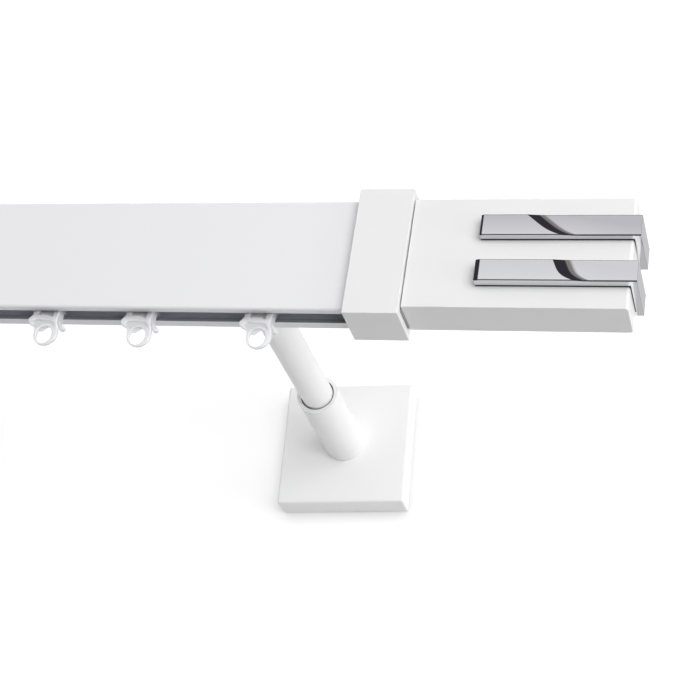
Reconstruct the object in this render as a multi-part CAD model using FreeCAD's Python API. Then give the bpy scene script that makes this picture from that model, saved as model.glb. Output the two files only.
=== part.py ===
import FreeCAD, Part
import math
import os

# Curtain track with a tall, flat rail, two telescopic wall arms, block finials and sliding gliders.
# Millimetres. X runs along the rail, +X to the viewer's right. The wall is the plane Y = 0 and the track
# stands out from it towards -Y. Z is up. The origin is on the wall, on the axis of the right-hand arm.

os.makedirs("parts", exist_ok=True)

Vector = FreeCAD.Vector

# Overall layout
arm_spacing = 480.0
projection = 180.5
push_in = 31.0

# Rail extrusion
rail_height = 48.0
rail_depth = 14.5
rail_wall = 1.3
rail_front_radius = 1.2
lip_thickness = 1.5
channel_height = 6.0
slot_width = 7.0
slot_from_front = 3.0
groove_mouth = 6.4
groove_height = 10.4
groove_depth = 2.6
rail_screw_play = 0.2

# Collar round each end of the rail
collar_start = 46.5
collar_length = 21.5
collar_side_wall = 3.6
collar_top_wall = 2.85
collar_play = 0.15
rail_lap = 13.5

# Finial block
joint_gap = 0.4
finial_length = 84.1
finial_depth = 18.5
finial_height = 46.5
finial_end_radius = 1.2

# Finial plug and its screws
plug_play = 0.2
plug_reach = 26.0
flange_play = 0.15
screw_play = 0.05
finial_screw_radius = 2.0
finial_screw_head_length = 2.8
finial_screw_grip = 20.0
collar_screw_radius = 2.0
collar_screw_sink = 0.6

# Chrome strips, the ramps' places counted from the finial's outer end
strip_height = 8.85
strip_start = 27.3
strip_leg = 3.0
strip_hook_length = 14.0
strip_edge_radius = 0.15
bevel_depth = 0.4
upper_middle = 9.575
upper_proud = 4.1
upper_bevel = 1.0
upper_ramp_place = 39.65
upper_ramp_run = 13.6
upper_ramp_straight = 0.75
upper_ramp_power = 6.0
lower_middle = -10.025
lower_proud = 4.9
lower_bevel = 1.8
lower_ramp_place = 28.2
lower_ramp_run = 8.6
lower_ramp_straight = 0.42
lower_ramp_power = 5.0
ramp_depth = 0.6
ramp_length = 9.0
ramp_hollow = 0.45
ramp_sections = 8
strip_pin_radius = 1.2
strip_pin_length = 5.0
strip_pin_inset = 9.0

# Telescopic arm
tube_radius = 7.0
tube_wall = 1.0
tube_running_gap = 0.05
tube_stop_gap = 1.0
bush_wall = 0.55
bush_length = 12.0
bush_recess = 0.8
sleeve_wall = 1.65
sleeve_length = 59.5
sleeve_screw_radius = 2.0
sleeve_screw_stand = 0.3
sleeve_screw_sink = 0.25

# Wall base and cover
cover_side = 60.0
cover_depth = 12.5
cover_wall = 2.2
cover_edge_radius = 1.0
cover_opening_play = 0.03
cover_turn_right = -3.2
cover_turn_left = 0.0
cover_screw_radius = 1.5
cover_screw_sink = 0.55
base_gap = 3.05
base_thickness = 5.0
boss_play = 0.1
boss_height = 7.0
wall_screw_count = 3
wall_screw_radius = 2.25
wall_screw_head_radius = 4.4

# Clamp head behind the rail
clamp_width = 27.0
clamp_height = 20.0
clamp_depth = 18.0
clamp_gap = 0.3
socket_depth = 12.0
socket_play = 0.03
nose_play = 0.3
clamp_screw_radius = 2.0
clamp_screw_edge = 1.0
clamp_screw_sink = 1.3
tube_pin_radius = 1.5
tube_pin_sink = 0.2

# Gliders: places along the rail from the nearer arm, inwards below zero, and the sizes of one glider
glider_places = [12.8, -36.0, -75.4, -117.0, -160.0]
glider_play = 0.2
head_length = 10.6
head_thickness = 2.2
head_side_play = 0.6
leg_side_play = 0.5
leg_depth = 5.2
legs_left = -6.8
legs_right = 4.1
leg_width = 2.2
web_thickness = 3.0
bridge_drop = 1.2
bridge_thickness = 2.2
bridge_slope = 2.0
plate_thickness = 1.4
shoulder_radius = 7.6
shoulder_x = -2.35
shoulder_drop = 8.9
ring_radius = 5.0
ring_x = 0.25
ring_drop = 9.75
eye_radius = 3.2
eye_x = -0.3
eye_drop = 10.8
eye_rise = 1.2
wing_outline = [
    (-6.8, 0.0), (-6.75, -1.5), (-8.3, -3.3), (-8.4, -4.4), (-7.9, -5.3), (-7.1, -5.9), (-5.6, -6.6),
    (-4.9, -7.9), (-4.7, -9.0), (0.0, -9.0), (0.0, -1.9),
]
tongue_outline = [(-4.2, -8.6), (-1.6, -8.5), (0.5, -6.7), (0.5, -6.0), (-2.5, -6.0)]
tab_outline = [(2.2, -3.4), (4.1, -3.0), (6.0, -5.2), (5.9, -7.2), (4.9, -7.0), (3.6, -5.0)]
tab_thickness = 1.6
tab_end_radius = 1.0
tab_end_x = 5.9
tab_end_drop = 6.2

# Lines that everything else is set out from
rail_middle = -projection
rail_front = rail_middle - rail_depth / 2
rail_back = rail_middle + rail_depth / 2
rail_bottom = -rail_height / 2
rail_top = rail_height / 2
rail_end = collar_start + rail_lap
collar_end = collar_start + collar_length
collar_back = rail_back + collar_play + collar_side_wall
finial_start = collar_end + joint_gap
finial_end = finial_start + finial_length
finial_front = rail_middle - finial_depth / 2
finial_back = rail_middle + finial_depth / 2
slot_middle = rail_front + slot_from_front + slot_width / 2
leg_front = slot_middle - slot_width / 2 + leg_side_play
leg_back = leg_front + leg_depth
channel_floor = rail_bottom + lip_thickness
chamber_bottom = channel_floor + channel_height + rail_wall
groove_front = rail_back - rail_wall - groove_depth
housing_front = groove_front - rail_wall
plug_front = rail_front + rail_wall + plug_play
plug_back = housing_front - plug_play
collar_screw_x = (collar_start + rail_end) / 2
collar_screw_z = (groove_height / 2 + rail_top) / 2
finial_screw_y = (plug_front + plug_back) / 2
finial_screw_z = (chamber_bottom + rail_top - rail_wall) / 2
sleeve_bore = tube_radius + tube_running_gap + bush_wall
sleeve_radius = sleeve_bore + sleeve_wall
sleeve_mouth = -base_thickness - sleeve_length
bush_mouth = sleeve_mouth + bush_recess
bush_end = bush_mouth + bush_length
sleeve_screw_y = (bush_mouth + bush_end) / 2
base_radius = cover_side / 2 - cover_wall - base_gap
boss_radius = sleeve_bore - boss_play
boss_end = -base_thickness - boss_height
wall_screw_circle = (sleeve_radius + base_radius) / 2
cover_screw_y = -base_thickness / 2
clamp_front = rail_back + clamp_gap
clamp_back = clamp_front + clamp_depth
tube_front = clamp_back - socket_depth
tube_back = boss_end - tube_stop_gap - push_in
tube_pin_y = (tube_front + clamp_back) / 2
mirror_plane = -arm_spacing / 2


def box(x_span, y_span, z_span):
    """A block between two values on each axis."""
    corner = Vector(x_span[0], y_span[0], z_span[0])
    sides = [span[1] - span[0] for span in (x_span, y_span, z_span)]
    return Part.makeBox(sides[0], sides[1], sides[2], corner)


def rod(radius, start, end):
    """A round bar from one point to another."""
    along = end - start
    return Part.makeCylinder(radius, along.Length, start, along)


def cone(radius_at_start, radius_at_end, start, end):
    """A tapered round bar from one point to another."""
    along = end - start
    return Part.makeCone(radius_at_start, radius_at_end, along.Length, start, along)


def prism(outline, start, along):
    """A solid swept from an outline of points, given in the plane through start."""
    wire = Part.makePolygon([start + point for point in outline + outline[:1]])
    return Part.Face(wire).extrude(along)


def round_edges(shape, radius, wanted):
    """Rounds the edges that pass the test."""
    edges = [edge for edge in shape.Edges if wanted(edge)]
    return shape.makeFillet(radius, edges)


def near(value, target):
    return abs(value - target) < 1e-4


def edge_lies(edge, x=None, y=None, z=None):
    """True where every end of the edge has the given coordinates."""
    ends = [vertex.Point for vertex in edge.Vertexes]
    if x is not None and not all(near(end.x, x) for end in ends):
        return False
    if y is not None and not all(near(end.y, y) for end in ends):
        return False
    return z is None or all(near(end.z, z) for end in ends)


def runs(edge, axis):
    """True where the edge's two ends differ along the axis."""
    ends = [getattr(vertex.Point, axis) for vertex in edge.Vertexes]
    return not near(ends[0], ends[-1])


def one_solid(shape):
    """The single solid of a shape, as a clean solid."""
    solid = shape.removeSplitter()
    return solid.Solids[0] if len(solid.Solids) == 1 else solid


def mirrored(shape):
    """The same piece for the left-hand end of the track."""
    return shape.mirror(Vector(mirror_plane, 0, 0), Vector(1, 0, 0))


def turned(shape, angle):
    """A piece turned about the arm's axis."""
    return shape.rotated(Vector(0, 0, 0), Vector(0, 1, 0), angle)


def write(name, shape):
    one_solid(shape).exportStep("parts/" + name + ".step")


def make_rail():
    """Extruded rail: glider channel below, closed chamber above and a T groove in its back."""
    ends = (-arm_spacing - rail_end, rail_end)
    inside = (rail_front + rail_wall, rail_back - rail_wall)
    rail = box(ends, (rail_front, rail_back), (rail_bottom, rail_top))
    rail = round_edges(
        rail, rail_front_radius,
        lambda edge: edge_lies(edge, y=rail_front) and runs(edge, "x"),
    )
    channel = box(ends, inside, (channel_floor, channel_floor + channel_height))
    slot_sides = (slot_middle - slot_width / 2, slot_middle + slot_width / 2)
    slot = box(ends, slot_sides, (rail_bottom, channel_floor))
    chamber = box(ends, inside, (chamber_bottom, rail_top - rail_wall))
    housing_half = groove_height / 2 + rail_wall
    housing = box(ends, (housing_front, rail_back), (-housing_half, housing_half))
    groove = box(ends, (groove_front, rail_back - rail_wall), (-groove_height / 2, groove_height / 2))
    mouth = box(ends, (rail_back - rail_wall, rail_back), (-groove_mouth / 2, groove_mouth / 2))
    screw_hole = rod(
        collar_screw_radius + rail_screw_play,
        Vector(collar_screw_x, housing_front, collar_screw_z),
        Vector(collar_screw_x, collar_back, collar_screw_z),
    )
    return rail.cut([channel, slot, chamber.cut(housing), groove, mouth, screw_hole, mirrored(screw_hole)])


def make_collar():
    """Square-edged sleeve that covers the joint of rail and finial."""
    half_depth = rail_depth / 2 + collar_play
    half_height = rail_height / 2 + collar_play
    outer_depth = half_depth + collar_side_wall
    outer_height = half_height + collar_top_wall
    span = (collar_start, collar_end)
    outside = box(
        span, (rail_middle - outer_depth, rail_middle + outer_depth), (-outer_height, outer_height)
    )
    opening = box(
        span, (rail_middle - half_depth, rail_middle + half_depth), (-half_height, half_height)
    )
    screw_hole = rod(
        collar_screw_radius + screw_play,
        Vector(collar_screw_x, rail_middle, collar_screw_z),
        Vector(collar_screw_x, collar_back, collar_screw_z),
    )
    return outside.cut([opening, screw_hole])


def make_collar_screw():
    """Headless screw through the collar and the rail's back wall, tight on the plug."""
    return rod(
        collar_screw_radius,
        Vector(collar_screw_x, plug_back, collar_screw_z),
        Vector(collar_screw_x, collar_back - collar_screw_sink, collar_screw_z),
    )


def make_finial_plug():
    """Moulded plug: a bar inside the rail's chamber and a flange that closes the rail's end."""
    bar = box(
        (rail_end - plug_reach, rail_end),
        (plug_front, plug_back),
        (chamber_bottom + plug_play, rail_top - rail_wall - plug_play),
    )
    flange = box(
        (rail_end, finial_start),
        (rail_front + flange_play, rail_back - flange_play),
        (rail_bottom + flange_play, rail_top - flange_play),
    )
    bore = rod(
        finial_screw_radius + screw_play,
        Vector(rail_end - plug_reach, finial_screw_y, finial_screw_z),
        Vector(finial_start, finial_screw_y, finial_screw_z),
    )
    return bar.fuse(flange).cut(bore)


def make_finial_screw():
    """Long screw from inside the rail, through the plug, into the finial block."""
    seat = Vector(rail_end - plug_reach, finial_screw_y, finial_screw_z)
    tip = Vector(finial_start + finial_screw_grip, finial_screw_y, finial_screw_z)
    head_radius = (housing_front - rail_front - rail_wall) / 2 - plug_play
    shank = rod(finial_screw_radius, seat, tip)
    head = rod(head_radius, seat - Vector(finial_screw_head_length, 0, 0), seat)
    return shank.fuse(head)


def strip_pin_places():
    """Places along the finial of the two pins that hold each strip."""
    return [finial_start + strip_start + strip_pin_inset, finial_end - strip_pin_inset]


def make_finial_block(strip_middles):
    """Solid finial block with rounded end corners and holes for its screw and the strips' pins."""
    block = box(
        (finial_start, finial_end), (finial_front, finial_back), (-finial_height / 2, finial_height / 2)
    )
    block = round_edges(
        block, finial_end_radius,
        lambda edge: edge_lies(edge, x=finial_end) and runs(edge, "z"),
    )
    holes = [
        rod(
            finial_screw_radius + screw_play,
            Vector(finial_start, finial_screw_y, finial_screw_z),
            Vector(finial_start + finial_screw_grip + screw_play, finial_screw_y, finial_screw_z),
        )
    ]
    for middle in strip_middles:
        for place in strip_pin_places():
            holes.append(rod(
                strip_pin_radius + screw_play,
                Vector(place, finial_front, middle),
                Vector(place, finial_front + strip_pin_length + screw_play, middle),
            ))
    return block.cut(holes)


def make_ramp_cut(middle, proud, place, run, straight, power):
    """Space in front of a strip's lower, outer part, bounded by the curved, slanting ramp."""
    front = finial_front - proud
    floor = front + ramp_depth
    clear = front - proud
    beyond = finial_end + 2 * strip_leg
    sections = []
    for step in range(-1, ramp_sections + 2):
        drop = step / ramp_sections
        bow = straight * drop + (1 - straight) * max(drop, 0) ** power
        x = finial_end - place + run * bow
        z = middle + strip_height / 2 - drop * strip_height
        top = Vector(x, front, z)
        belly = Vector(x + ramp_length / 2, front + ramp_hollow, z)
        foot = Vector(x + ramp_length, floor, z)
        corners = [foot, Vector(beyond, floor, z), Vector(beyond, clear, z), Vector(x, clear, z), top]
        edges = [Part.Arc(top, belly, foot).toShape()]
        edges += [Part.makeLine(corners[i], corners[i + 1]) for i in range(4)]
        sections.append(Part.Wire(edges))
    return Part.makeLoft(sections, True, False)


def make_strip(middle, proud, bevel, ramp, block):
    """Chrome strip on the finial's front, bent round its end and hooked behind it, with two pins."""
    low = middle - strip_height / 2
    start = finial_start + strip_start
    end = finial_end + strip_leg
    hook = end - strip_hook_length
    front = finial_front - proud
    back = finial_back + strip_leg
    outline = [
        (start, front + bevel_depth), (start + bevel, front), (end, front), (end, back),
        (hook, back), (hook, rail_middle), (start, rail_middle),
    ]
    points = [Vector(x, y, 0) for x, y in outline]
    strip = prism(points, Vector(0, 0, low), Vector(0, 0, strip_height))
    strip = round_edges(
        strip, strip_edge_radius,
        lambda edge: edge_lies(edge, y=front) or edge_lies(edge, x=end),
    )
    strip = strip.cut([block, make_ramp_cut(middle, proud, *ramp)])
    pins = [
        rod(strip_pin_radius, Vector(place, finial_front - ramp_depth, middle),
            Vector(place, finial_front + strip_pin_length, middle))
        for place in strip_pin_places()
    ]
    return strip.fuse(pins)


def make_wall_base():
    """Round base screwed to the wall, with a boss that the sleeve is pressed over."""
    base = rod(base_radius, Vector(0, 0, 0), Vector(0, -base_thickness, 0))
    base = base.fuse(rod(boss_radius, Vector(0, 0, 0), Vector(0, boss_end, 0)))
    sink_depth = wall_screw_head_radius - wall_screw_radius
    for number in range(wall_screw_count):
        angle = math.radians(90 + 360 / wall_screw_count * number)
        x = wall_screw_circle * math.cos(angle)
        z = wall_screw_circle * math.sin(angle)
        face = Vector(x, -base_thickness, z)
        base = base.cut([
            rod(wall_screw_radius, Vector(x, 0, z), face),
            cone(wall_screw_head_radius, wall_screw_radius, face, face + Vector(0, sink_depth, 0)),
        ])
    return base


def make_wall_cover():
    """Square cover, open at the back, that hides the base."""
    half = cover_side / 2
    inner = half - cover_wall
    cover = box((-half, half), (-cover_depth, 0), (-half, half))
    cover = round_edges(
        cover, cover_edge_radius,
        lambda edge: edge_lies(edge, y=-cover_depth)
        or (near(abs(edge.CenterOfMass.x), half) and near(abs(edge.CenterOfMass.z), half)),
    )
    inside = box((-inner, inner), (-cover_depth + cover_wall, 0), (-inner, inner))
    opening = rod(sleeve_radius + cover_opening_play, Vector(0, -cover_depth, 0), Vector(0, 0, 0))
    screw_hole = rod(
        cover_screw_radius + screw_play,
        Vector(0, cover_screw_y, base_radius),
        Vector(0, cover_screw_y, half),
    )
    return cover.cut([inside, opening, screw_hole])


def make_cover_screw():
    """Headless screw in the cover's upper edge, tight on the base."""
    head = Vector(0, cover_screw_y, cover_side / 2 - cover_screw_sink)
    return rod(cover_screw_radius, Vector(0, cover_screw_y, base_radius), head)


def sleeve_screw_hole():
    """Threaded hole on top of the sleeve, through sleeve and bush."""
    start = Vector(0, sleeve_screw_y, 0)
    return rod(sleeve_screw_radius + screw_play, start, start + Vector(0, 0, 2 * sleeve_radius))


def make_sleeve():
    """Outer sleeve of the arm, pressed over the base's boss."""
    root = Vector(0, -base_thickness, 0)
    mouth = Vector(0, sleeve_mouth, 0)
    return rod(sleeve_radius, root, mouth).cut([rod(sleeve_bore, root, mouth), sleeve_screw_hole()])


def make_guide_bush():
    """Plastic bush fixed in the sleeve's mouth, in which the tube slides."""
    inner_end = Vector(0, bush_end, 0)
    mouth = Vector(0, bush_mouth, 0)
    bore = rod(tube_radius + tube_running_gap, inner_end, mouth)
    return rod(sleeve_bore, inner_end, mouth).cut([bore, sleeve_screw_hole()])


def make_sleeve_screw():
    """Headless screw on top of the sleeve that locks the tube."""
    foot = Vector(0, sleeve_screw_y, tube_radius + sleeve_screw_stand)
    return rod(sleeve_screw_radius, foot, Vector(0, sleeve_screw_y, sleeve_radius - sleeve_screw_sink))


def tube_pin_hole():
    half = Vector(0, 0, clamp_height / 2)
    middle = Vector(0, tube_pin_y, 0)
    return rod(tube_pin_radius + screw_play, middle - half, middle + half)


def make_tube():
    """Inner tube of the arm."""
    front = Vector(0, tube_front, 0)
    back = Vector(0, tube_back, 0)
    return rod(tube_radius, front, back).cut([rod(tube_radius - tube_wall, front, back), tube_pin_hole()])


def make_tube_pin():
    """Pin through the clamp head and the tube."""
    half = Vector(0, 0, clamp_height / 2 - tube_pin_sink)
    middle = Vector(0, tube_pin_y, 0)
    return rod(tube_pin_radius, middle - half, middle + half)


def clamp_screw_places():
    """X and Z of the clamp screws, in two opposite corners of the head."""
    side = (tube_radius + clamp_width / 2) / 2
    rise = clamp_height / 2 - clamp_screw_radius - clamp_screw_edge
    return [(-side, -rise), (side, rise)]


def make_clamp_head():
    """Clamp head: a socket for the tube behind, and a T-shaped nose that hooks into the rail's groove."""
    width = (-clamp_width / 2, clamp_width / 2)
    body = box(width, (clamp_front, clamp_back), (-clamp_height / 2, clamp_height / 2))
    nose_front = groove_front + nose_play
    neck_half = groove_mouth / 2 - nose_play
    neck = box(width, (nose_front, clamp_front), (-neck_half, neck_half))
    hook_half = groove_height / 2 - nose_play
    hook = box(width, (nose_front, nose_front + groove_depth - 2 * nose_play), (-hook_half, hook_half))
    socket = rod(tube_radius + socket_play, Vector(0, tube_front, 0), Vector(0, clamp_back, 0))
    bores = [
        rod(clamp_screw_radius + screw_play, Vector(x, clamp_front, z), Vector(x, clamp_back, z))
        for x, z in clamp_screw_places()
    ]
    return body.fuse([neck, hook]).cut([socket, tube_pin_hole()] + bores)


def make_clamp_screws():
    """Two headless screws that press on the rail's back and draw the nose tight."""
    return Part.makeCompound([
        rod(clamp_screw_radius, Vector(x, clamp_front, z), Vector(x, clamp_back - clamp_screw_sink, z))
        for x, z in clamp_screw_places()
    ])


def upright_plate(outline, front, thickness):
    """A plate along the rail, from an outline of (x, z) points, z counted from the rail's underside."""
    points = [Vector(x, 0, z) for x, z in outline]
    return prism(points, Vector(0, front, rail_bottom), Vector(0, thickness, 0))


def cross_rod(radius, x, drop, front, thickness):
    """A round bar across the rail, its axis below the rail's underside by the drop."""
    end = Vector(x, front, rail_bottom - drop)
    return rod(radius, end, end + Vector(0, thickness, 0))


def make_glider_head():
    """The part that runs in the rail: a flat head, two legs through the slot, and a bridge and a web between."""
    middle = (legs_left + legs_right) / 2
    head_half = rail_depth / 2 - rail_wall - head_side_play
    seat = channel_floor + glider_play
    head = box(
        (middle - head_length / 2, middle + head_length / 2),
        (rail_middle - head_half, rail_middle + head_half),
        (seat, seat + head_thickness),
    )
    foot = rail_bottom - bridge_drop - bridge_thickness
    legs = [
        box(span, (leg_front, leg_back), (foot, seat))
        for span in ((legs_left, legs_left + leg_width), (legs_right - leg_width, legs_right))
    ]
    bridge = upright_plate(
        [
            (legs_left, -bridge_drop), (legs_right, -bridge_drop - bridge_slope),
            (legs_right, -bridge_drop - bridge_thickness - bridge_slope / 2),
            (legs_left, -bridge_drop - bridge_thickness),
        ],
        leg_front, leg_depth,
    )
    web = box((legs_left, legs_right), (leg_back - web_thickness, leg_back), (foot, seat))
    return head.fuse(legs + [bridge, web])


def make_glider():
    """Moulded glider: a head and legs, and a plate with an eye for the curtain hook, a wing and a tab."""
    wing = upright_plate(wing_outline, leg_front, plate_thickness)
    shoulder = cross_rod(shoulder_radius, shoulder_x, shoulder_drop, leg_front, plate_thickness)
    shoulder = shoulder.common(box(
        (legs_left, shoulder_x + shoulder_radius),
        (leg_front, leg_front + plate_thickness),
        (rail_bottom - shoulder_drop, rail_bottom),
    ))
    ring = cross_rod(ring_radius, ring_x, ring_drop, leg_front, plate_thickness)
    plate = ring.fuse([wing, shoulder])
    eye = [
        cross_rod(eye_radius, eye_x, drop, leg_front - plate_thickness, 3 * plate_thickness)
        for drop in (eye_drop, eye_drop - eye_rise)
    ]
    tongue = upright_plate(tongue_outline, leg_front, plate_thickness)
    tab = upright_plate(tab_outline, slot_middle - tab_thickness / 2, tab_thickness)
    tab_end = cross_rod(
        tab_end_radius, tab_end_x, tab_end_drop, slot_middle - tab_end_radius, 2 * tab_end_radius
    )
    return make_glider_head().fuse([plate.cut(eye), tongue, tab, tab_end])


strips = {
    "upper_strip": (
        upper_middle, upper_proud, upper_bevel,
        (upper_ramp_place, upper_ramp_run, upper_ramp_straight, upper_ramp_power),
    ),
    "lower_strip": (
        lower_middle, lower_proud, lower_bevel,
        (lower_ramp_place, lower_ramp_run, lower_ramp_straight, lower_ramp_power),
    ),
}
finial_block = one_solid(make_finial_block([values[0] for values in strips.values()]))

pieces = {
    "wall_base": make_wall_base(),
    "arm_sleeve": make_sleeve(),
    "guide_bush": make_guide_bush(),
    "sleeve_screw": make_sleeve_screw(),
    "arm_tube": make_tube(),
    "tube_pin": make_tube_pin(),
    "clamp_head": make_clamp_head(),
    "clamp_screws": make_clamp_screws(),
    "collar": make_collar(),
    "collar_screw": make_collar_screw(),
    "finial_plug": make_finial_plug(),
    "finial_screw": make_finial_screw(),
    "finial_block": finial_block,
}
for name, values in strips.items():
    pieces[name] = make_strip(*values, finial_block)
for name, shape in pieces.items():
    write(name + "_right", shape)
    write(name + "_left", mirrored(shape))

# The covers turn on their round bases, each by its own angle
for name, shape in (("wall_cover", make_wall_cover()), ("cover_screw", make_cover_screw())):
    write(name + "_right", turned(shape, cover_turn_right))
    write(name + "_left", mirrored(turned(shape, cover_turn_left)))

write("rail", make_rail())

glider = one_solid(make_glider())
places = glider_places + [-arm_spacing - place for place in reversed(glider_places)]
for number, place in enumerate(places, start=1):
    write("glider_%02d" % number, glider.translated(Vector(place, 0, 0)))
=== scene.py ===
import bmesh
import bpy
import math
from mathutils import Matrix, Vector


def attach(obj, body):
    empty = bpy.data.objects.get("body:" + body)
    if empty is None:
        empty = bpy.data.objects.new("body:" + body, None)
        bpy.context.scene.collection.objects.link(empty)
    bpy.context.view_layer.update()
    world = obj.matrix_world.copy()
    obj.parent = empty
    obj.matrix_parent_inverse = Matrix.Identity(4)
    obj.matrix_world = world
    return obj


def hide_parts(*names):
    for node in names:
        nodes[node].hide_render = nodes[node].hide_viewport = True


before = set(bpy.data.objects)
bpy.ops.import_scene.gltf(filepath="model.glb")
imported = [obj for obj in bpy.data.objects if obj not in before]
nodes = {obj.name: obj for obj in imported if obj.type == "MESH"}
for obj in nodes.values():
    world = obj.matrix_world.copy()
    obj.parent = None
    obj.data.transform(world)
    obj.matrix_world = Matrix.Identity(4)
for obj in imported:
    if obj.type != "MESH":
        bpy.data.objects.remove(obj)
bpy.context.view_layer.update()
mm = 0.001


# Wall bases: round discs of cast zinc, each held to the wall by three countersunk screws and hidden by its
# cover. Their solids stay as they are; the casting has a dull, faintly mottled skin.

class Wire:
    """A shader socket: arithmetic on wires adds Math nodes, and node() adds any other node."""

    def __init__(self, tree, socket):
        self.tree = tree
        self.socket = socket

    def node(self, kind, settings, inputs, output=0):
        """Adds a node, makes its settings, then gives its inputs values or wires, by name or number."""
        made = self.tree.nodes.new(kind)
        for name, value in settings.items():
            setattr(made, name, value)
        for name, value in inputs.items():
            if isinstance(value, Wire):
                self.tree.links.new(value.socket, made.inputs[name])
            else:
                made.inputs[name].default_value = value
        return Wire(self.tree, made.outputs[output])

    def maths(self, operation, first, second=0.0):
        return self.node("ShaderNodeMath", {"operation": operation}, {0: first, 1: second})

    def __add__(self, other):
        return self.maths("ADD", self, other)

    def __sub__(self, other):
        return self.maths("SUBTRACT", self, other)

    def __rsub__(self, other):
        return self.maths("SUBTRACT", other, self)

    def __mul__(self, other):
        return self.maths("MULTIPLY", self, other)

    def __truediv__(self, other):
        return self.maths("DIVIDE", self, other)

    def __pow__(self, other):
        return self.maths("POWER", self, other)

    __radd__ = __add__
    __rmul__ = __mul__

    def rise(self, low, high):
        """Goes smoothly from 0 where this wire is low to 1 where it is high."""
        return self.node(
            "ShaderNodeMapRange", {"interpolation_type": "SMOOTHSTEP"},
            {"Value": self, "From Min": low, "From Max": high},
        )

    def fall(self, low, high):
        """Goes smoothly from 1 where this wire is low to 0 where it is high."""
        return 1 - self.rise(low, high)

    def limit(self):
        """This wire held between 0 and 1."""
        return self.node("ShaderNodeClamp", {}, {"Value": self})

    def larger(self, other):
        return self.maths("MAXIMUM", self, other)

    def tint(self, colour_at_0, colour_at_1):
        """A colour that follows this wire from 0 to 1; each end is a plain colour or a wire."""
        first, second = [
            colour if isinstance(colour, Wire) else (*colour, 1) for colour in (colour_at_0, colour_at_1)
        ]
        return self.node("ShaderNodeMix", {"data_type": "RGBA"}, {0: self, 6: first, 7: second}, output=2)

    def speckle(self, scale, detail=2.0, stretch=(1, 1, 1)):
        """Noise over this wire's coordinates, with as many grains to a metre as the scale says."""
        spread = self.node("ShaderNodeMapping", {}, {"Vector": self, "Scale": stretch})
        return self.node("ShaderNodeTexNoise", {}, {"Vector": spread, "Scale": scale, "Detail": detail})

    def relief(self, depth):
        """The surface normal for this wire taken as a height, in steps of the given depth."""
        return self.node("ShaderNodeBump", {}, {"Height": self, "Distance": depth, "Strength": 1.0})

    def axis(self, number):
        """One of the three parts of this wire's coordinates."""
        return self.node("ShaderNodeSeparateXYZ", {}, {0: self}, output=number)


def new_finish(name):
    """A new material and the wire of its object coordinates."""
    material = bpy.data.materials.new(name)
    material.use_nodes = True
    tree = material.node_tree
    return material, Wire(tree, tree.nodes.new("ShaderNodeTexCoord").outputs["Object"])


def set_finish(material, values):
    """Gives the material's shader its plain values and its wires."""
    shader = material.node_tree.nodes["Principled BSDF"]
    for name, value in values.items():
        if isinstance(value, Wire):
            material.node_tree.links.new(value.socket, shader.inputs[name])
        else:
            shader.inputs[name].default_value = value


def coat_nodes(material, *names):
    """Gives the material to solids that stay as they are."""
    for name in names:
        for place in nodes[name].material_slots:
            place.material = material


zinc, spot = new_finish("cast zinc")
mottle = spot.speckle(260.0, 4.0)
set_finish(zinc, {
    "Base Color": mottle.rise(0.3, 0.7).tint((0.36, 0.37, 0.38), (0.48, 0.49, 0.50)),
    "Metallic": 0.85,
    "Roughness": 0.42 + mottle * 0.25,
    "Normal": spot.speckle(900.0, 3.0).relief(0.05 * mm),
})
coat_nodes(zinc, "wall_base_right", "wall_base_left")


# Wall covers: square pressed plates, open behind, painted satin white and pushed over the bases. The edges
# are lightly rounded by the paint. The right-hand one has been turned a little on its round base.

track_middle = -240 * mm
cover_half = 30 * mm
cover_depth = 12.5 * mm
cover_wall = 2.2 * mm
cover_edge = 1.0 * mm
cover_hole_edge = 0.08 * mm
cover_opening_radius = 9.28 * mm
cover_hole_radius = 1.55 * mm
cover_screw_y = -2.5 * mm
cover_turn = math.radians(-3.2)


def alone(piece=None):
    """Goes to object mode with nothing selected but the piece."""
    if bpy.context.mode != "OBJECT":
        bpy.ops.object.mode_set(mode="OBJECT")
    bpy.ops.object.select_all(action="DESELECT")
    if piece is not None:
        piece.select_set(True)
        bpy.context.view_layer.objects.active = piece


def settle(name):
    """Names the active piece and moves its place into its mesh."""
    piece = bpy.context.object
    piece.name = name
    piece.data.name = name
    alone(piece)
    bpy.ops.object.transform_apply(location=True, rotation=True, scale=True)
    return piece


def block(name, low, high):
    """A block between two corners."""
    alone()
    middle = [(a + b) / 2 for a, b in zip(low, high)]
    bpy.ops.mesh.primitive_cube_add(size=1, location=middle, scale=[b - a for a, b in zip(low, high)])
    return settle(name)


def rod(name, radius, start, end, sides=96):
    """A round bar between two points."""
    alone()
    along = Vector(end) - Vector(start)
    bpy.ops.mesh.primitive_cylinder_add(
        vertices=sides, radius=radius, depth=along.length, location=(Vector(start) + Vector(end)) / 2,
        rotation=along.to_track_quat("Z", "Y").to_euler(),
    )
    return settle(name)


def pick(piece, kind, wanted):
    """In edit mode, selects the vertices, edges or faces whose middle passes the test."""
    alone(piece)
    bpy.ops.object.mode_set(mode="EDIT")
    bpy.ops.mesh.select_mode(type=kind)
    bpy.ops.mesh.select_all(action="DESELECT")
    mesh = bmesh.from_edit_mesh(piece.data)
    for part in {"VERT": mesh.verts, "EDGE": mesh.edges, "FACE": mesh.faces}[kind]:
        corners = [part] if kind == "VERT" else part.verts
        if wanted(sum((corner.co for corner in corners), Vector()) / len(corners)):
            part.select = True
    mesh.select_flush_mode()
    bmesh.update_edit_mesh(piece.data)


def close_up():
    """In edit mode, turns every face of the piece outwards, then goes back to object mode."""
    bpy.ops.mesh.select_all(action="SELECT")
    bpy.ops.mesh.normals_make_consistent(inside=False)
    bpy.ops.object.mode_set(mode="OBJECT")


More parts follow.
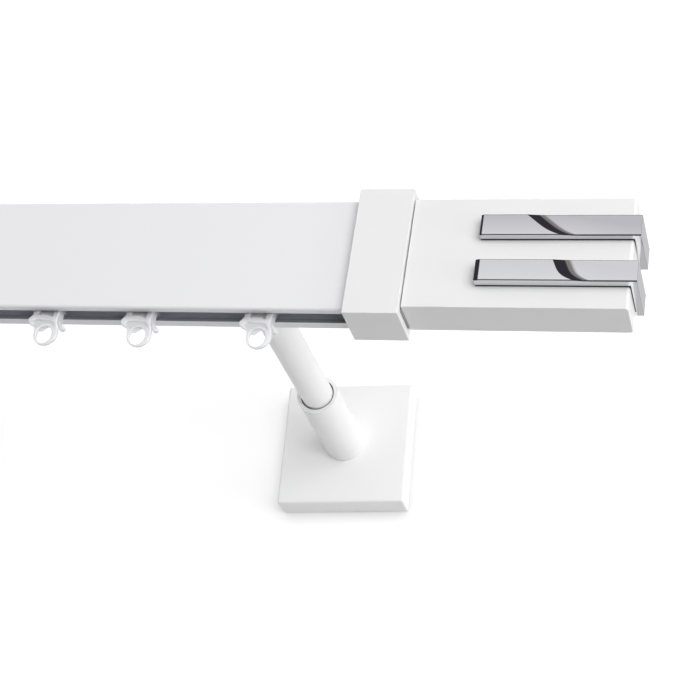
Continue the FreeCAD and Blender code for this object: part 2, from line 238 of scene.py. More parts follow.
def apply_change(piece, kind, **settings):
    """Adds a modifier with its settings and applies it."""
    alone(piece)
    change = piece.modifiers.new(kind.lower(), kind)
    for name, value in settings.items():
        setattr(change, name, value)
    bpy.ops.object.modifier_apply(modifier=change.name)


def carve(piece, cutter, operation="DIFFERENCE"):
    """Cuts the cutter out of the piece, or adds it, and clears the cutter away."""
    apply_change(piece, "BOOLEAN", object=cutter, operation=operation, solver="EXACT")
    bpy.data.objects.remove(cutter)


def soften(piece, width, sharper_than=50, segments=3):
    """Rounds the edges that are sharper than an angle, and shades the flats flat."""
    apply_change(
        piece, "BEVEL", width=width, segments=segments, limit_method="ANGLE",
        angle_limit=math.radians(sharper_than), miter_outer="MITER_ARC",
    )
    alone(piece)
    bpy.ops.object.shade_smooth_by_angle(angle=math.radians(36), keep_sharp_edges=True)
    apply_change(piece, "WEIGHTED_NORMAL", keep_sharp=True, weight=80)


def twin(piece):
    """The same piece for the left-hand end, mirrored about the middle of the track."""
    other = piece.copy()
    other.data = piece.data.copy()
    other.name = piece.name.replace("right", "left")
    bpy.context.collection.objects.link(other)
    alone(other)
    bpy.ops.object.mode_set(mode="EDIT")
    bpy.ops.mesh.select_all(action="SELECT")
    bpy.ops.transform.resize(value=(-1, 1, 1), center_override=(track_middle, 0, 0))
    close_up()
    apply_change(other, "WEIGHTED_NORMAL", keep_sharp=True, weight=80)
    return other


def fit(piece, node, body, material):
    """Lets the finished piece stand for its solid, with its finish."""
    piece.data.materials.clear()
    piece.data.materials.append(material)
    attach(piece, body)
    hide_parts(node)


def fit_pair(piece, node, body, material, left=None):
    """Fits the right-hand piece and the left-hand one, which is its mirrored twin unless one is given."""
    left = left or twin(piece)
    fit(piece, node + "_right", body, material)
    fit(left, node + "_left", body, material)


def white_paint(name, tone, grain=1500.0, depth=0.006 * mm):
    """Satin white paint with a fine orange peel and a faint unevenness of tone."""
    paint, spot = new_finish(name)
    cloud = spot.speckle(35.0, 3.0)
    set_finish(paint, {
        "Base Color": cloud.rise(0.3, 0.7).tint([0.985 * tone] * 3, [tone] * 3),
        "Roughness": 0.40 + cloud * 0.10,
        "Normal": spot.speckle(grain).relief(depth),
        "Specular IOR Level": 0.4,
    })
    return paint


def make_cover(name, turn):
    """A cover round the right-hand arm's axis, with its opening and its screw hole."""
    cover = block(name, (-cover_half, -cover_depth, -cover_half), (cover_half, 0, cover_half))
    pick(cover, "FACE", lambda middle: middle.y > -cover_edge)
    bpy.ops.mesh.inset(thickness=cover_wall)
    bpy.ops.mesh.extrude_region_move(TRANSFORM_OT_translate={"value": (0, cover_wall - cover_depth, 0)})
    soften(cover, cover_edge, segments=4)
    carve(cover, rod("opening", cover_opening_radius, (0, -2 * cover_depth, 0), (0, cover_depth, 0)))
    hole_start = (0, cover_screw_y, 0)
    hole_end = (0, cover_screw_y, 2 * cover_half)
    carve(cover, rod("screw hole", cover_hole_radius, hole_start, hole_end))
    soften(cover, cover_hole_edge, sharper_than=60)
    alone(cover)
    cover.rotation_euler = (0, turn, 0)
    return settle(name)


# Painted light: this satin white, like the sleeves' and tubes', has a brighter tone (0.95) than the same
# white on the collars and finials (0.76), which stands in for the light the parts near the wall lack.
cover_paint = white_paint("satin white paint on the cover plates", 0.95)
right_cover = make_cover("wall_cover_plate_right", cover_turn)
left_cover = make_cover("wall_cover_plate_left", 0)
for corner in left_cover.data.vertices:
    corner.co.x += 2 * track_middle
fit_pair(right_cover, "wall_cover", "wall_side", cover_paint, left_cover)


# Cover screws: headless screws with a hexagon socket, in the upper edge of each cover, tight on the base.
# Zinc-plated steel with a fine turned grain.

cover_screw_radius = 1.5 * mm
cover_screw_foot = 24.75 * mm
cover_screw_head = 29.45 * mm

steel, spot = new_finish("zinc plated steel")
turned_grain = spot.speckle(2400.0)
set_finish(steel, {
    "Base Color": turned_grain.rise(0.3, 0.7).tint((0.50, 0.51, 0.53), (0.62, 0.63, 0.65)),
    "Metallic": 1.0,
    "Roughness": 0.28 + turned_grain * 0.12,
})


def headless_screw(name, radius, foot, head):
    """A screw between two points, with a hexagon socket in its head."""
    foot, head = Vector(foot), Vector(head)
    inwards = (foot - head).normalized()
    socket_end = head + inwards * 0.9 * radius
    screw = rod(name, radius, foot, head, sides=48)
    carve(screw, rod("socket", 0.55 * radius, head - inwards * radius, socket_end, sides=6))
    soften(screw, 0.1 * radius)
    return screw


def turned_about_arm(height):
    """The point at this height on the right-hand cover's middle line, after the cover's turn."""
    return (height * math.sin(cover_turn), cover_screw_y, height * math.cos(cover_turn))


right_screw = headless_screw(
    "cover_grub_screw_right", cover_screw_radius,
    turned_about_arm(cover_screw_foot), turned_about_arm(cover_screw_head),
)
left_screw = headless_screw(
    "cover_grub_screw_left", cover_screw_radius,
    (2 * track_middle, cover_screw_y, cover_screw_foot), (2 * track_middle, cover_screw_y, cover_screw_head),
)
fit_pair(right_screw, "cover_screw", "wall_side", steel, left_screw)


# Arm sleeves: the outer tubes of the telescopic arms, pressed on the bases and painted like the covers.
# The open mouth has a softly rounded rim, and a locking screw goes in from above.

sleeve_radius = 9.25 * mm
sleeve_bore = 7.6 * mm
sleeve_root = -5 * mm
sleeve_mouth = -64.5 * mm
lock_y = -57.7 * mm
lock_hole_radius = 2.05 * mm


def pipe(name, outer, inner, front, back):
    """A pipe on the right-hand arm's axis, between two distances from the wall."""
    made = rod(name, outer, (0, front, 0), (0, back, 0), sides=128)
    pick(made, "FACE", lambda middle: abs(middle.x) + abs(middle.z) < 0.1 * outer)
    bpy.ops.mesh.inset(thickness=outer - inner)
    bpy.ops.mesh.delete(type="FACE")
    bpy.ops.mesh.select_mode(type="EDGE")
    bpy.ops.mesh.select_non_manifold()
    bpy.ops.mesh.bridge_edge_loops()
    close_up()
    return made


def lock_hole():
    """The cutter for the locking screw's hole, from the arm's axis upwards."""
    return rod("lock hole", lock_hole_radius, (0, lock_y, 0), (0, lock_y, 2 * sleeve_radius), sides=48)


arm_paint = white_paint("satin white paint on the sleeves", 0.95)
sleeve = pipe("arm_outer_sleeve_right", sleeve_radius, sleeve_bore, sleeve_mouth, sleeve_root)
carve(sleeve, lock_hole())
soften(sleeve, 0.22 * mm, segments=4)
fit_pair(sleeve, "arm_sleeve", "wall_side", arm_paint)


# Guide bushes: short rings of black plastic inside the sleeves' mouths, in which the tubes slide.
# Only a thin dark crescent shows between sleeve and tube.

bush_radius = 7.59 * mm
bush_bore = 7.05 * mm
bush_front = -63.7 * mm
bush_back = -51.7 * mm

bush_plastic, spot = new_finish("black moulded plastic")
set_finish(bush_plastic, {
    "Base Color": spot.speckle(500.0).tint((0.035, 0.035, 0.040), (0.060, 0.060, 0.068)),
    "Roughness": 0.45 + spot.speckle(300.0) * 0.15,
})
bush = pipe("arm_guide_bush_right", bush_radius, bush_bore, bush_front, bush_back)
carve(bush, lock_hole())
soften(bush, 0.1 * mm)
fit_pair(bush, "guide_bush", "wall_side", bush_plastic)


# Locking screws: headless screws on top of the sleeves, which hold the tubes at the chosen length.

lock_screw_radius = 2 * mm
lock_screw_foot = 7.3 * mm
lock_screw_head = 9 * mm
lock_screw = headless_screw(
    "arm_lock_screw_right", lock_screw_radius, (0, lock_y, lock_screw_foot), (0, lock_y, lock_screw_head)
)
fit_pair(lock_screw, "sleeve_screw", "wall_side", steel)


# Arm tubes: the inner tubes, drawn smooth and painted white, which slide in and out with the rail.
# A pin holds each tube in its clamp head.

tube_radius = 7 * mm
tube_bore = 6 * mm
tube_front = -166.95 * mm
tube_back = -44 * mm
tube_paint = white_paint("satin white paint on the tubes", 0.96)
tube = pipe("arm_inner_tube_right", tube_radius, tube_bore, tube_front, tube_back)
soften(tube, 0.25 * mm)
fit_pair(tube, "arm_tube", "arms", tube_paint)
coat_nodes(steel, "tube_pin_right", "tube_pin_left")


# Clamp heads: painted aluminium blocks with a socket for the tube and a T-shaped nose in the rail's back
# groove. They are cut from a bar, with broken edges.

clamp_half_width = 13.5 * mm
clamp_half_height = 10 * mm
clamp_front = -172.95 * mm
clamp_back = -154.95 * mm
neck_half_height = 2.9 * mm
neck_back = -171 * mm
nose_half_height = 4.9 * mm
nose_front = -176.85 * mm
nose_back = -174.85 * mm
socket_radius = 7.03 * mm
clamp_screw_places = ((-10.25 * mm, -7 * mm), (10.25 * mm, 7 * mm))
clamp_bore_radius = 2.05 * mm
pin_y = -160.95 * mm
pin_bore_radius = 1.55 * mm
before_clamp = -180 * mm
behind_clamp = -150 * mm


def clamp_block(name, half_height, front, back):
    """A block as wide as the clamp head."""
    return block(name, (-clamp_half_width, front, -half_height), (clamp_half_width, back, half_height))


clamp_paint = white_paint("satin white paint on the clamp heads", 0.80, grain=1100.0, depth=0.01 * mm)
clamp = clamp_block("rail_clamp_head_right", clamp_half_height, clamp_front, clamp_back)
carve(clamp, clamp_block("neck", neck_half_height, nose_front, neck_back), "UNION")
carve(clamp, clamp_block("nose", nose_half_height, nose_front, nose_back), "UNION")
carve(clamp, rod("socket", socket_radius, (0, tube_front, 0), (0, behind_clamp, 0)))
for x, z in clamp_screw_places:
    carve(clamp, rod("bore", clamp_bore_radius, (x, before_clamp, z), (x, behind_clamp, z), sides=48))
pin_reach = 2 * clamp_half_height
carve(clamp, rod("pin bore", pin_bore_radius, (0, pin_y, -pin_reach), (0, pin_y, pin_reach), sides=48))
soften(clamp, 0.35 * mm)
fit_pair(clamp, "clamp_head", "arms", clamp_paint)


# Clamp screws: two headless screws to a clamp head, which press on the rail's back and draw the nose tight.

clamp_screw_radius = 2 * mm
clamp_screw_head = -156.25 * mm


def joined(name, parts):
    """Several meshes made one piece."""
    alone(parts[0])
    for part in parts:
        part.select_set(True)
    bpy.ops.object.join()
    parts[0].name = name
    parts[0].data.name = name
    return parts[0]


clamp_screws = joined("clamp_grub_screws_right", [
    headless_screw("part", clamp_screw_radius, (x, clamp_front, z), (x, clamp_screw_head, z))
    for x, z in clamp_screw_places
])
fit_pair(clamp_screws, "clamp_screws", "arms", steel)


# Rail: one aluminium extrusion, powder-coated a cool white, with faint drawing lines along it. The glider
# channel and the slot's walls are painted dark as painted shade.

channel_high = 16.55 * mm
channel_low = 22.45 * mm
channel_front = -186.9 * mm
channel_back = -174.1 * mm
shaded_slot_front = -184.8 * mm
shaded_slot_back = -177.4 * mm
blur = 0.1 * mm

coat, spot = new_finish("cool white powder coat on the rail")
drawing_lines = spot.speckle(1.0, stretch=(3, 700, 700))
depth_in_rail = spot.axis(1)
below_middle = 0.0 - spot.axis(2)
in_channel = (
    below_middle.rise(channel_high - blur, channel_high)
    * below_middle.fall(channel_low + blur, channel_low + 2 * blur)
    * depth_in_rail.rise(channel_front - blur, channel_front)
    * depth_in_rail.fall(channel_back, channel_back + blur)
)
in_slot = (
    below_middle.rise(channel_low, channel_low + blur)
    * depth_in_rail.rise(shaded_slot_front - blur, shaded_slot_front)
    * depth_in_rail.fall(shaded_slot_back, shaded_slot_back + blur)
)
# Painted shade: the channel and the slot take a dark tone for the shade inside the rail, lighter towards the
# channel's top as painted light.
high_up = below_middle.fall(channel_high + 2.5 * mm, channel_low)
painted_channel_shade = high_up.tint((0.20, 0.20, 0.23), (0.74, 0.74, 0.83))
set_finish(coat, {
    "Base Color": in_channel.larger(in_slot).tint((0.755, 0.755, 0.778), painted_channel_shade),
    "Roughness": 0.33 + drawing_lines * 0.08,
    "Normal": (drawing_lines + spot.speckle(1300.0) * 0.5).relief(0.006 * mm),
    "Specular IOR Level": 0.4,
})
coat_nodes(coat, "rail")


# Gliders: one-piece mouldings of milky plastic, each with a flat head in the channel, two legs through the
# slot and a hanging eye with a springy inner lip for the curtain hook. They slide freely in the rail's slot.

rail_bottom = -24 * mm
rail_middle = -180.5 * mm
slot_middle = -181.25 * mm
glider_places = [12.8, -36.0, -75.4, -117.0, -160.0, -320.0, -363.0, -404.6, -444.0, -492.8]
plate_front = slot_middle - 3 * mm
plate_thickness = 1.4 * mm
leg_depth = 5.2 * mm
leg_middle = plate_front + leg_depth / 2
leg_heights = (-3.4, 1.8)
grain_size = 0.18 * mm


def arc(middle, radius, start, end, steps):
    """Points round a circle, between two angles in degrees."""
    turns = [math.radians(start + (end - start) * step / steps) for step in range(steps + 1)]
    return [(middle[0] + radius * math.cos(turn), middle[1] + radius * math.sin(turn)) for turn in turns]


def upright_plate(outline, front, thickness):
    """A plate along the rail, from its outline in millimetres: x, and z from the rail's underside."""
    alone()
    bpy.ops.mesh.primitive_circle_add(vertices=len(outline), fill_type="NGON")
    plate = settle("part")
    for corner, (x, z) in zip(plate.data.vertices, outline):
        corner.co = (x * mm, front, rail_bottom + z * mm)
    pick(plate, "FACE", lambda middle: True)
    bpy.ops.mesh.extrude_region_move(TRANSFORM_OT_translate={"value": (0, thickness, 0)})
    close_up()
    return plate


def glider_block(x_span, z_span, y_half, y_middle):
    """A block of a glider, with x and z in millimetres, z from the rail's underside."""
    return block(
        "part",
        (x_span[0] * mm, y_middle - y_half, rail_bottom + z_span[0] * mm),
        (x_span[1] * mm, y_middle + y_half, rail_bottom + z_span[1] * mm),
    )


head = glider_block((-6.65, 3.95), (1.7, 3.9), 5.35 * mm, rail_middle)
left_leg = glider_block((-6.8, -4.6), leg_heights, leg_depth / 2, leg_middle)
right_leg = glider_block((1.9, 4.1), leg_heights, leg_depth / 2, leg_middle)
web = glider_block((-6.7, 4.0), leg_heights, 1.5 * mm, leg_middle + 1.1 * mm)
bridge = upright_plate([(-6.8, -1.2), (4.1, -3.2), (4.1, -4.4), (-6.8, -3.4)], plate_front, leg_depth)
left_side = [
    (-6.8, 0.0), (-6.75, -1.5), (-7.6, -2.5), (-8.3, -3.3), (-8.5, -3.8), (-8.4, -4.4), (-7.9, -5.3),
    (-7.1, -5.9), (-5.6, -6.6), (-4.9, -7.9), (-4.75, -8.9),
]
ring = arc((0.25, -9.75), 5.0, 180, 360, 40)
shoulder = arc((-2.35, -8.9), 7.6, 0, 112, 40)
plate = upright_plate(left_side + ring + shoulder, plate_front, plate_thickness)
eye = arc((-0.3, -9.6), 3.2, 0, 180, 30) + arc((-0.3, -10.8), 3.2, 180, 360, 30)
carve(plate, upright_plate(eye, plate_front - 1 * mm, 4 * mm))
recess = arc((-2.1, -9.0), 6.2, 24, 135, 30) + [(-5.6, -6.2)] + arc((-0.2, -10.2), 4.6, 148, 45, 30)
carve(plate, upright_plate(recess, plate_front - 2 * mm, 2.45 * mm))
tongue_sides = [(-4.2, -8.6), (-1.6, -8.5), (0.5, -6.7), (0.5, -6.0), (-2.5, -6.0)]
tongue = upright_plate(tongue_sides, plate_front + 0.6 * mm, 0.8 * mm)
tab_sides = [(2.2, -3.4), (4.1, -3.0), (6.0, -5.2), (5.9, -7.2), (4.9, -7.0), (3.6, -5.0)]
tab = upright_plate(tab_sides, slot_middle - 0.8 * mm, 1.6 * mm)
tab_end = upright_plate(arc((5.9, -6.2), 1.0, 0, 345, 23), slot_middle - 1 * mm, 2 * mm)
glider = joined("glider", [head, left_leg, right_leg, web, bridge, plate, tongue, tab, tab_end])
apply_change(glider, "REMESH", mode="VOXEL", voxel_size=grain_size)
apply_change(glider, "SMOOTH", factor=0.6, iterations=4)
alone(glider)
bpy.ops.object.shade_smooth()

milky, spot = new_finish("milky moulded plastic")
flow = spot.speckle(220.0, 3.0, stretch=(1, 1, 0.4))
behind_front = spot.axis(1) - plate_front
below_rail = rail_bottom - spot.axis(2)
# Painted shade: darker close to the rail, where the slot shades the legs and web, and in the recess round
# the eye. Painted light: lighter towards the bottom.
painted_slot_shade = below_rail.fall(0.5 * mm, 3.8 * mm) * behind_front.fall(0.1 * mm, 0.4 * mm)
painted_light_below = below_rail.rise(6 * mm, 12 * mm) * 0.7 - 0.35
painted_recess_shade = (
    behind_front.rise(0.25 * mm, 0.45 * mm) * behind_front.fall(0.65 * mm, 1.2 * mm)
    * below_rail.rise(1 * mm, 2 * mm)
)
clear_tone = (flow + painted_light_below).limit().tint((0.63, 0.63, 0.65), (0.70, 0.70, 0.715))
shaded_tone = (0.36, 0.36, 0.38)
set_finish(milky, {
    "Base Color": (painted_recess_shade * 0.25).larger(painted_slot_shade * 0.8).tint(clear_tone, shaded_tone),
    "Roughness": 0.30 + flow * 0.12,
    "Normal": spot.speckle(700.0).relief(0.008 * mm),
    "Subsurface Weight": 1.0,
    "Subsurface Radius": (1.0, 1.0, 1.0),
    "Subsurface Scale": 3 * mm,
})
for number, place in enumerate(glider_places, start=1):
    hung = glider.copy()
    hung.data = glider.data.copy()
    hung.name = "curtain_glider_%02d" % number
    bpy.context.collection.objects.link(hung)
    alone(hung)
    bpy.ops.transform.translate(value=(place * mm, 0, 0))
    settle(hung.name)
    fit(hung, "glider_%02d" % number, "glider_%02d" % number, milky)
bpy.data.objects.remove(glider)


# Finial plugs and their screws: grey plastic plugs inside the rail's ends, each joined to its finial by one
# screw. Their solids stay; hardly anything of them shows.

plug_plastic, spot = new_finish("grey moulded plastic")
set_finish(plug_plastic, {
    "Base Color": spot.speckle(400.0).tint((0.30, 0.30, 0.31), (0.38, 0.38, 0.39)),
    "Roughness": 0.5 + spot.speckle(300.0) * 0.1,
})
coat_nodes(plug_plastic, "finial_plug_right", "finial_plug_left")
coat_nodes(steel, "finial_screw_right", "finial_screw_left")


# Collars: square-edged aluminium sleeves over the joints of rail and finials, painted satin white.
# The corners are crisp, broken only by the paint. A headless screw at the back holds each one.

collar_start = 46.5 * mm
collar_end = 68 * mm
collar_half_depth = 11 * mm
collar_half_height = 27 * mm
opening_half_depth = 7.4 * mm
opening_half_height = 24.15 * mm
collar_screw_x = 53.25 * mm
collar_screw_z = 14.6 * mm
collar_screw_radius = 2 * mm
collar_hole_radius = 2.05 * mm
collar_screw_foot = -178.65 * mm
collar_screw_head = -170.1 * mm
behind_collar = -160 * mm


def collar_block(name, start, end, half_depth, half_height):
    """A block about the rail's middle, between two places along it."""
    return block(
        name, (start, rail_middle - half_depth, -half_height), (end, rail_middle + half_depth, half_height)
    )


# Painted shade: the collars' and finials' satin white has a darker tone (0.76) than the white on the covers,
# sleeves and tubes.
collar_paint = white_paint("satin white paint on the collars", 0.76)
collar = collar_block("rail_collar_right", collar_start, collar_end, collar_half_depth, collar_half_height)
carve(collar, collar_block("opening", 0, 100 * mm, opening_half_depth, opening_half_height))
carve(collar, rod(
    "screw hole", collar_hole_radius, (collar_screw_x, rail_middle, collar_screw_z),
    (collar_screw_x, behind_collar, collar_screw_z), sides=48,
))
soften(collar, 0.25 * mm)
fit_pair(collar, "collar", "track", collar_paint)
collar_screw = headless_screw(
    "collar_grub_screw_right", collar_screw_radius, (collar_screw_x, collar_screw_foot, collar_screw_z),
    (collar_screw_x, collar_screw_head, collar_screw_z),
)
fit_pair(collar_screw, "collar_screw", "track", steel)


# Finial blocks: solid blocks that close the track, with softly rounded outer corners, painted satin white.

finial_start = 68.4 * mm
finial_end = 152.5 * mm
finial_front = -189.75 * mm
finial_back = -171.25 * mm
finial_half_height = 23.25 * mm
finial_corner = 1.2 * mm
finial_paint = white_paint("satin white paint on the finials", 0.76)
finial = block(
    "finial_end_block_right",
    (finial_start, finial_front, -finial_half_height), (finial_end, finial_back, finial_half_height),
)
pick(finial, "EDGE", lambda middle: middle.x > finial_end - 1 * mm and abs(middle.z) < 1 * mm)
bpy.ops.mesh.bevel(offset=finial_corner, segments=8, affect="EDGES")
soften(finial, 0.3 * mm)
fit_pair(finial, "finial_block", "track", finial_paint)


# Chrome strips: two polished bars on each finial's front, bent round its end and hooked behind it.
# Each front steps back at a hollow ramp with a curved, slanting edge, whose dark wave is a painted
# reflection.

strip_half_height = 4.425 * mm
strip_start = 95.7 * mm
strip_end = 155.5 * mm
strip_back = -168.25 * mm
strip_hook = 141.5 * mm
bevel_depth = 0.4 * mm
ramp_depth = 0.6 * mm
ramp_length = 9 * mm
ramp_steps = 14
strip_rows = 20
upper_shape = {
    "middle": 9.575 * mm, "proud": 4.1 * mm, "bevel": 1.0 * mm,
    "ramp_place": 39.65 * mm, "ramp_run": 13.6 * mm, "ramp_straight": 0.75, "ramp_power": 6.0,
}
# Tones of the painted reflections on the upper strips, with the light wedge's place on the leg.
upper_tones = {
    "low_tone": (0.64, 0.635, 0.665), "high_tone": (0.49, 0.485, 0.515),
    "light_width": 0.0, "light_slope": 0.145, "line_length": 15.5 * mm,
}
lower_shape = {
    "middle": -10.025 * mm, "proud": 4.9 * mm, "bevel": 1.8 * mm,
    "ramp_place": 28.2 * mm, "ramp_run": 8.6 * mm, "ramp_straight": 0.42, "ramp_power": 5.0,
}
# Tones of the painted reflections on the lower strips, with the light wedge's place on the leg.
lower_tones = {
    "low_tone": (0.68, 0.69, 0.705), "high_tone": (0.62, 0.615, 0.645),
    "light_width": 0.6 * mm, "light_slope": 0.04, "line_length": 60 * mm,
}


def make_strip(name, middle, proud, bevel, ramp_place, ramp_run, ramp_straight, ramp_power):
    """A strip built up row by row, with the ramp's corners moved along as the rows go up."""
    front = finial_front - proud
    steps = [step / ramp_steps for step in range(ramp_steps + 1)]
    edge = finial_end - ramp_place + ramp_run
    outline = [(strip_start, finial_front), (strip_start, front + bevel_depth), (strip_start + bevel, front)]
    outline += [(edge + ramp_length * step, front + ramp_depth * (1 - (1 - step) ** 2)) for step in steps]
    outline += [
        (strip_end, front + ramp_depth), (strip_end, strip_back), (strip_hook, strip_back),
        (strip_hook, finial_back), (finial_end, finial_back), (finial_end, finial_front),
    ]
    alone()
    bpy.ops.mesh.primitive_circle_add(vertices=len(outline))
    strip = settle(name)
    for corner, (x, y) in zip(strip.data.vertices, outline):
        corner.co = (x, y, middle - strip_half_height)
    height = 2 * strip_half_height / strip_rows
    for row in range(strip_rows):
        low = middle - strip_half_height + row * height
        drop = 1 - (row + 1) / strip_rows
        bow = ramp_straight * drop + (1 - ramp_straight) * drop ** ramp_power
        new_edge = finial_end - ramp_place + ramp_run * bow
        pick(strip, "EDGE", lambda at: abs(at.z - low) < height / 4)
        bpy.ops.mesh.extrude_region_move(TRANSFORM_OT_translate={"value": (0, 0, height)})
        pick(
            strip, "VERT",
            lambda at: abs(at.z - low - height) < height / 4 and at.y < front + 1.01 * ramp_depth
            and strip_start + 2 * bevel < at.x < strip_end - 1 * mm,
        )
        bpy.ops.transform.translate(value=(new_edge - edge, 0, 0))
        edge = new_edge
    bpy.ops.mesh.select_all(action="SELECT")
    bpy.ops.mesh.fill_holes(sides=0)
    close_up()
    soften(strip, 0.12 * mm, sharper_than=40)
    return strip


def chrome(
    name, middle, proud, bevel, ramp_place, ramp_run, ramp_straight, ramp_power,
    low_tone, high_tone, light_width, light_slope, line_length,
):
    """Polished chrome, with painted reflections: black on the ramp, the inner end's bevel and the edges,
    grey and light on the leg; and black by the block.
    """
    metal, spot = new_finish(name)
    off_middle = spot.axis(0) - track_middle
    past_end = off_middle.maths("ABSOLUTE", off_middle) - (finial_end - track_middle)
    depth = spot.axis(1)
    above = spot.axis(2) - (middle - strip_half_height)
    height_share = above / (2 * strip_half_height)

    # Painted reflections: the ramp's black wave and the brownish tone at its foot.
    drop = (1 - height_share).limit()
    bow = drop * ramp_straight + drop ** ramp_power * (1 - ramp_straight)
    on_ramp = (past_end + ramp_place - bow * ramp_run) / ramp_length
    front = finial_front - proud + (1 - (1 - on_ramp.limit()) ** 2) * ramp_depth
    on_front = (depth - front).fall(0.15 * mm, 0.25 * mm)
    wave = on_ramp.rise(-0.015, 0.015) * on_ramp.fall(0.46, 0.53)
    wave_foot = on_ramp.rise(0.2, 0.3) * on_ramp.fall(0.62, 0.82)

    # Painted reflections, black on the bevel at the inner end and the front's edges; and the dark line where
    #     # the strip leaves the block.
    inner_edge = strip_start + bevel - finial_end
    inner_end = past_end.fall(inner_edge - 0.1 * mm, inner_edge)
    inner_end = inner_end * (depth - (finial_front - proud)).fall(bevel_depth, bevel_depth + 0.1 * mm)
    lower_edge = (above - on_ramp.limit() * (0.2 * mm)).fall(0.25 * mm, 0.5 * mm)
    upper_edge = above.rise(2 * strip_half_height - 0.35 * mm, 2 * strip_half_height - 0.15 * mm)
    beside_block = depth.rise(finial_front - 1.3 * mm, finial_front - 1.1 * mm)
    beside_block = beside_block * past_end.fall(0.4 * mm, 0.6 * mm)
    beside_block = beside_block * depth.fall(finial_front, finial_front + line_length)
    beside_block = beside_block * depth.fall(finial_back - 0.2 * mm, finial_back)
    dark = on_front * wave.larger(lower_edge * 0.9).larger(upper_edge * 0.6)
    dark = dark.larger(inner_end).larger(beside_block)

    # The leg round the finial's end, with painted reflections: its outer side, its underside and the light
    #     # wedge along that.
    outer_side = strip_end - finial_end
    leg_side = past_end.rise(outer_side - 0.1 * mm, outer_side - 0.05 * mm)
    under_leg = past_end.rise(0, 0.1 * mm).larger(depth.rise(finial_back - 0.1 * mm, finial_back))
    under_leg = under_leg * above.fall(0.05 * mm, 0.15 * mm)
    past_light = past_end - light_width - (finial_back - depth) * light_slope
    light_wedge = under_leg * past_light.fall(-0.15 * mm, 0.15 * mm)

    # The strip's grey gradient, darker upwards and towards its outer end, is a painted reflection.
    shade = (height_share + past_end.rise(-30 * mm, outer_side) * 0.5).limit()
    tone = shade.tint(low_tone, high_tone)
    tone = (on_front * wave_foot).tint(tone, (0.20, 0.185, 0.185))
    tone = (under_leg * 0.75).tint(tone, (0.50, 0.50, 0.52))
    tone = leg_side.tint(tone, (0.315, 0.31, 0.34))
    tone = light_wedge.tint(tone, (0.90, 0.90, 0.91))
    set_finish(metal, {
        "Base Color": dark.tint(tone, (0.03, 0.028, 0.035)),
        "Metallic": 1.0,
        "Roughness": 0.10 + spot.speckle(60.0, 3.0) * 0.06,
    })
    return metal


for which, shape, tones in (("upper", upper_shape, upper_tones), ("lower", lower_shape, lower_tones)):
    strip = make_strip(which + "_chrome_strip_right", **shape)
    metal = chrome("polished chrome on the %s strips" % which, **shape, **tones)
    fit_pair(strip, which + "_strip", "track", metal)


# Wall and floor: plain white, seen as pure white, with the object's soft shadow on the wall and a painted
# contact shadow close to the covers. Both are seen through from behind and below, so that neither hides
# the track.

mirrored_glow = 0.85
contact_reach = 8 * mm
contact_darkness = 0.9


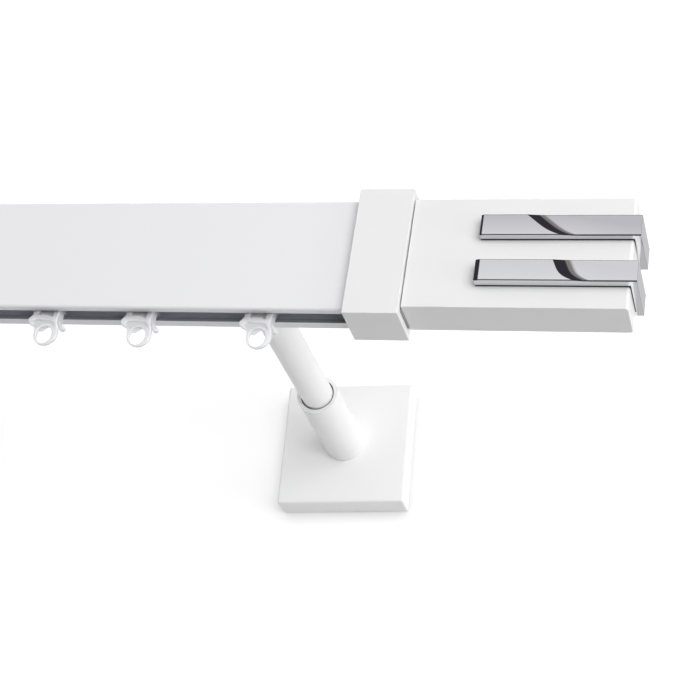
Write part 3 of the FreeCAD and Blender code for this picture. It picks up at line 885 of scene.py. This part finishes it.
def white_ground(name, low, high, paleness, diffuse_share, glow):
    """A white sheet that takes shadows, glows towards the camera and looks pale grey in reflections."""
    alone()
    bpy.ops.mesh.primitive_plane_add(size=1)
    sheet = settle(name)
    places = [low, (high[0], low[1], low[2]), (low[0], high[1], high[2]), high]
    for corner, place in zip(sheet.data.vertices, places):
        corner.co = place
    material, spot = new_finish(name)
    tree = material.node_tree
    tree.nodes.remove(tree.nodes["Principled BSDF"])
    path = tree.nodes.new("ShaderNodeLightPath")
    looked_at, mirrored, seen_through = [
        Wire(tree, path.outputs[kind]) for kind in ("Is Camera Ray", "Is Glossy Ray", "Is Transmission Ray")
    ]
    behind = Wire(tree, tree.nodes.new("ShaderNodeNewGeometry").outputs["Backfacing"])
    # Painted shade: the glow towards the camera is darkened within contact_reach of what stands on the
    # sheet.
    hidden = 1 - spot.node(
        "ShaderNodeAmbientOcclusion", {"samples": 8}, {"Distance": contact_reach}, output=1
    )
    strength = (1 - hidden * contact_darkness) * glow
    matt = spot.node("ShaderNodeBsdfDiffuse", {}, {"Color": (paleness, paleness, paleness, 1)})
    light = spot.node("ShaderNodeEmission", {}, {"Color": (1, 1, 1, 1), "Strength": strength})
    image = spot.node("ShaderNodeEmission", {}, {"Color": (1, 1, 1, 1), "Strength": mirrored_glow})
    clear = spot.node("ShaderNodeBsdfTransparent", {}, {})
    bright = spot.node("ShaderNodeMixShader", {}, {0: 1 - diffuse_share, 1: matt, 2: light})
    shown = spot.node("ShaderNodeMixShader", {}, {0: looked_at.larger(seen_through), 1: matt, 2: bright})
    shown = spot.node("ShaderNodeMixShader", {}, {0: mirrored, 1: shown, 2: image})
    whole = spot.node("ShaderNodeMixShader", {}, {0: behind, 1: shown, 2: clear})
    tree.links.new(whole.socket, tree.nodes["Material Output"].inputs["Surface"])
    sheet.data.materials.append(material)


white_ground("white wall", (-4, 0.0004, -3), (4, 0.0004, 3), paleness=0.9, diffuse_share=0.65, glow=1.5)
white_ground("white floor", (-4, -5, -1.8), (4, 0, -1.8), paleness=0.2, diffuse_share=0.5, glow=1.9)


# Light: an even white surround, a large soft lamp at the rail's level, far in front and to the right, and a
# weaker one far to the right and lower, near the wall, which lights the arm.

seen_level = 1.0
lighting_level = 0.68
lamp_aim = Vector((0.05, -0.18, 0))

world = bpy.data.worlds.new("white surround")
bpy.context.scene.world = world
world.use_nodes = True
tree = world.node_tree
path = tree.nodes.new("ShaderNodeLightPath")
seen = Wire(tree, path.outputs["Is Camera Ray"]).larger(Wire(tree, path.outputs["Is Glossy Ray"]))
level = seen * (seen_level - lighting_level) + lighting_level
tree.links.new(level.socket, tree.nodes["Background"].inputs["Strength"])
tree.nodes["Background"].inputs["Color"].default_value = (1, 1, 1, 1)

for name, place, size, power in (
    ("soft lamp", (1.2, -2.0, -0.05), 2.0, 36),
    ("side lamp", (2.0, -0.6, -0.5), 0.8, 7),
):
    bpy.ops.object.light_add(type="AREA", location=place)
    lamp = bpy.context.object
    lamp.name = name
    lamp.data.shape = "DISK"
    lamp.data.size = size
    lamp.data.energy = power
    lamp.rotation_euler = (lamp_aim - lamp.location).to_track_quat("-Z", "Y").to_euler()


# Camera: below the rail and a little to the right of the finial, looking up and to the left.

bpy.ops.object.camera_add(
    location=(239.55 * mm, -780.29 * mm, -343.05 * mm),
    rotation=[math.radians(turn) for turn in (115.375, -8.255, 14.217)],
)
camera = bpy.context.object
camera.data.lens = 96.07
camera.data.sensor_width = 36
camera.data.shift_x = 0.0257
camera.data.shift_y = 0.0357
camera.data.clip_start = 0.01
bpy.context.scene.camera = camera
bpy.context.scene.view_settings.view_transform = "Standard"
